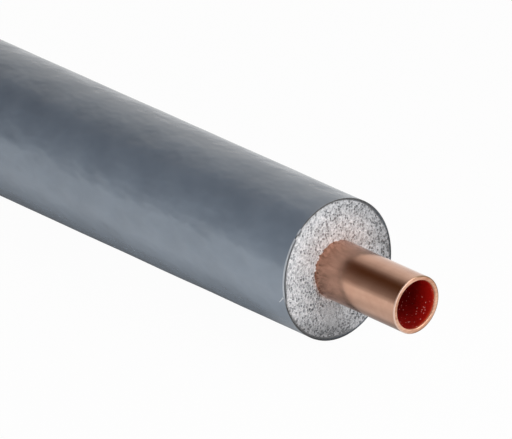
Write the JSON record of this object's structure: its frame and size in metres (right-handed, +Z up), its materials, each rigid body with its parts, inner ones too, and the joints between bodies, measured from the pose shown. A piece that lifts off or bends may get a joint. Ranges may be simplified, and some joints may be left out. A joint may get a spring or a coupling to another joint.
{
  "type": "pre-insulated copper tube",
  "caption": "Straight copper tube in a sleeve of pale foam with a grey plastic film skin, the insulation cut back at one end to bare the copper for a fitting.",
  "frame": {"origin": "on the floor under the middle of the tube's length and width", "axes": "+X along the tube towards the bare copper end, +Y across it, +Z up"},
  "size_m": [1, 0.0308, 0.0307],
  "materials": {
    "copper": "drawn copper, satin bright, freshly sawn ends",
    "foam": "cut face of closed-cell polyethylene foam, pale grey",
    "film": "smooth slate-grey polyethylene film, semi-gloss"
  },
  "bodies": {
    "root": {"copper_tube": "copper", "foam_insulation": "foam", "film_jacket": "film"}
  },
  "joints": []
}
